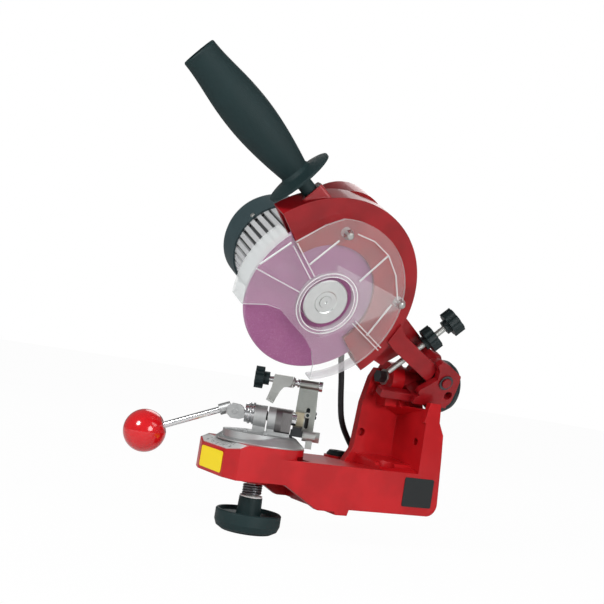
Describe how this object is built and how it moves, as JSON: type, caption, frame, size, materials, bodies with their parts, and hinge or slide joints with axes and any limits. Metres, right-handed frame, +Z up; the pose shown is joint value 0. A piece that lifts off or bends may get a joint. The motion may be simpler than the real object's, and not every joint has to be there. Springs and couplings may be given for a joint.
{
  "type": "electric chainsaw sharpener",
  "caption": "Bench-edge electric chainsaw sharpener: a tilting pull-down grinding head with a thin wheel and clear guard over a swivelling chain vise on a cast arm.",
  "frame": {"origin": "middle of the bench face under the foot, on the line between the bench bolts' plane and the front arm; the front hangs over the bench edge", "axes": "+Z up, -Y towards the user's side where the chain vise hangs over the bench edge, +X towards the handle and wheel face"},
  "size_m": [0.2609, 0.4686, 0.4102],
  "materials": {
    "red_paint": "satin",
    "head_paint": "satin",
    "zinc": "satin",
    "bright_steel": "polished",
    "jaw_steel": "satin",
    "cast_silver": "satin",
    "motor_silver": "satin",
    "black_steel": "satin",
    "spring_steel": "satin",
    "core_steel": "matt",
    "brass": "satin",
    "plate_metal": "satin",
    "label_plate": "satin",
    "abrasive": "matt",
    "clear_plastic": "clear",
    "black_plastic": "satin",
    "cap_plastic": "satin",
    "grip_plastic": "matt",
    "red_ball": "gloss",
    "white_plastic": "satin",
    "cord_rubber": "matt",
    "screw_zinc": "satin"
  },
  "bodies": {
    "base": {"base_casting": "red_paint", "scale_plate": "plate_metal", "blank_plates": "label_plate", "ear_grommet": "black_plastic", "tilt_bolt": "zinc", "tilt_washers": "zinc", "cord": "cord_rubber", "cord_coil": "cord_rubber", "plug": "cord_rubber"},
    "turntable": {"turntable_dome": "cast_silver", "vise_body": "cast_silver", "rear_jaw": "jaw_steel", "clamp_rod": "bright_steel", "jaw_spring": "spring_steel", "table_bolt": "zinc", "table_spring": "spring_steel", "stop_post": "black_steel", "stop_block": "brass", "stop_block_screw": "screw_zinc", "stop_pin": "zinc", "stop_nut": "screw_zinc"},
    "table_washer": {"table_washer": "white_plastic"},
    "table_knob": {"table_knob": "black_plastic"},
    "clamp_lever": {"lever_hub": "cast_silver", "lever_rod": "bright_steel", "lever_ball": "red_ball"},
    "moving_jaw": {"moving_jaw": "cast_silver", "clamp_washer": "bright_steel"},
    "stop_bracket": {"stop_bracket": "zinc"},
    "stop_lock": {"stop_lock_knob": "black_plastic"},
    "stop_rod": {"stop_rod": "bright_steel", "star_knob": "black_plastic"},
    "pawl_nut": {"pawl_nut": "zinc"},
    "pawl": {"pawl": "zinc"},
    "yoke": {"tilt_yoke": "head_paint", "hinge_pin": "zinc", "hinge_circlips": "black_steel", "return_spring": "spring_steel"},
    "tilt_knob": {"tilt_lock_knob": "black_plastic"},
    "head": {"head_casting": "head_paint", "guard": "clear_plastic", "pan_screws": "screw_zinc", "motor_body": "motor_silver", "motor_cap": "cap_plastic", "stator": "core_steel", "ball_bearings": "bright_steel", "switch_housing": "black_plastic", "switch_body": "black_plastic", "cord_gland": "cord_rubber", "handle_grip": "grip_plastic"},
    "spindle": {"grinding_wheel": "abrasive", "outer_flange": "zinc", "wheel_screw": "black_steel", "motor_shaft": "bright_steel", "rotor_core": "core_steel", "fan": "black_plastic"},
    "switch_rocker": {"switch_rocker": "black_plastic"},
    "depth_screw": {"depth_screw": "zinc"},
    "depth_end_knob": {"depth_end_knob": "black_plastic"},
    "depth_lock": {"depth_lock_knob": "black_plastic"}
  },
  "joints": [
    {"name": "swivel", "type": "hinge", "parent": "base", "child": "turntable", "pos_m": [0, -0.13, 0.05], "axis": [0, 0, 1], "range_deg": [-5, 65]},
    {"name": "table_knob_turn", "type": "hinge", "parent": "table_washer", "child": "table_knob", "pos_m": [0, -0.13, -0.02], "axis": [0, 0, 1], "range_deg": [0, 540]},
    {"name": "table_washer_slide", "type": "slide", "parent": "turntable", "child": "table_washer", "axis": [0, 0, -1], "range_m": [0, 0.0026], "deforming": ["table_spring"]},
    {"name": "clamp_lever", "type": "hinge", "parent": "turntable", "child": "clamp_lever", "pos_m": [-0.01375, -0.15382, 0.075], "axis": [0.866, -0.5, 0], "range_deg": [-75, 0]},
    {"name": "jaw_slide", "type": "slide", "parent": "turntable", "child": "moving_jaw", "axis": [-0.5, -0.866, 0], "range_m": [0, 0.0026], "deforming": ["jaw_spring"]},
    {"name": "stop_bracket_slide", "type": "slide", "parent": "turntable", "child": "stop_bracket", "axis": [0, 0, -1], "range_m": [-0.006, 0.003]},
    {"name": "stop_lock_turn", "type": "hinge", "parent": "turntable", "child": "stop_lock", "pos_m": [-0.00573, -0.07993, 0.08], "axis": [0.866, -0.5, 0], "range_deg": [0, 180]},
    {"name": "stop_rod_turn", "type": "hinge", "parent": "stop_bracket", "child": "stop_rod", "pos_m": [-0.02208, -0.11725, 0.109], "axis": [0.5, 0.866, 0], "range_deg": [-1080, 1080]},
    {"name": "pawl_nut_slide", "type": "slide", "parent": "stop_bracket", "child": "pawl_nut", "axis": [0.5, 0.866, 0], "range_m": [-0.0021, 0.0021]},
    {"name": "pawl_lift", "type": "hinge", "parent": "pawl_nut", "child": "pawl", "pos_m": [-0.02208, -0.11725, 0.109], "axis": [0.5, 0.866, 0], "range_deg": [-30, 0]},
    {"name": "head_tilt", "type": "hinge", "parent": "base", "child": "yoke", "pos_m": [0, 0.035, 0.128], "axis": [0, 1, 0], "range_deg": [-25.5, 4.5], "deforming": ["cord"]},
    {"name": "tilt_knob_turn", "type": "hinge", "parent": "base", "child": "tilt_knob", "pos_m": [0, 0.068, 0.128], "axis": [0, 1, 0], "range_deg": [0, 180]},
    {"name": "pull_down", "type": "hinge", "parent": "yoke", "child": "head", "pos_m": [0.02803, 0.042, 0.13865], "axis": [0.9026, 0, -0.4305], "range_deg": [0, 14.9], "stiffness_Nm_per_rad": 14, "springref_deg": -45.84, "deforming": ["cord"]},
    {"name": "spindle", "type": "hinge", "parent": "head", "child": "spindle", "pos_m": [0.053, -0.123, 0.191], "axis": [0.9026, 0, -0.4305], "continuous": true},
    {"name": "switch_rocker", "type": "hinge", "parent": "head", "child": "switch_rocker", "pos_m": [-0.02623, -0.039, 0.19445], "axis": [-0.4305, 0, -0.9026], "range_deg": [0, 20]},
    {"name": "depth_screw_slide", "type": "slide", "parent": "head", "child": "depth_screw", "axis": [0.3457, 0.596, 0.7248], "range_m": [-0.0022, 0.005]},
    {"name": "depth_knob_turn", "type": "hinge", "parent": "depth_screw", "child": "depth_end_knob", "pos_m": [0.05271, 0.0273, 0.18806], "axis": [0.3457, 0.596, 0.7248], "range_deg": [-1800, 1800]},
    {"name": "depth_lock_turn", "type": "hinge", "parent": "head", "child": "depth_lock", "pos_m": [0.04407, 0.0124, 0.16995], "axis": [0.3457, 0.596, 0.7248], "range_deg": [0, 90]}
  ],
  "couplings": [
    {"joint": "table_knob_turn", "follows": "table_washer_slide", "rad_per_m": 3590.7},
    {"joint": "jaw_slide", "follows": "clamp_lever", "m_per_rad": -0.0019099},
    {"joint": "stop_rod_turn", "follows": "pawl_nut_slide", "rad_per_m": 8975.9}
  ]
}
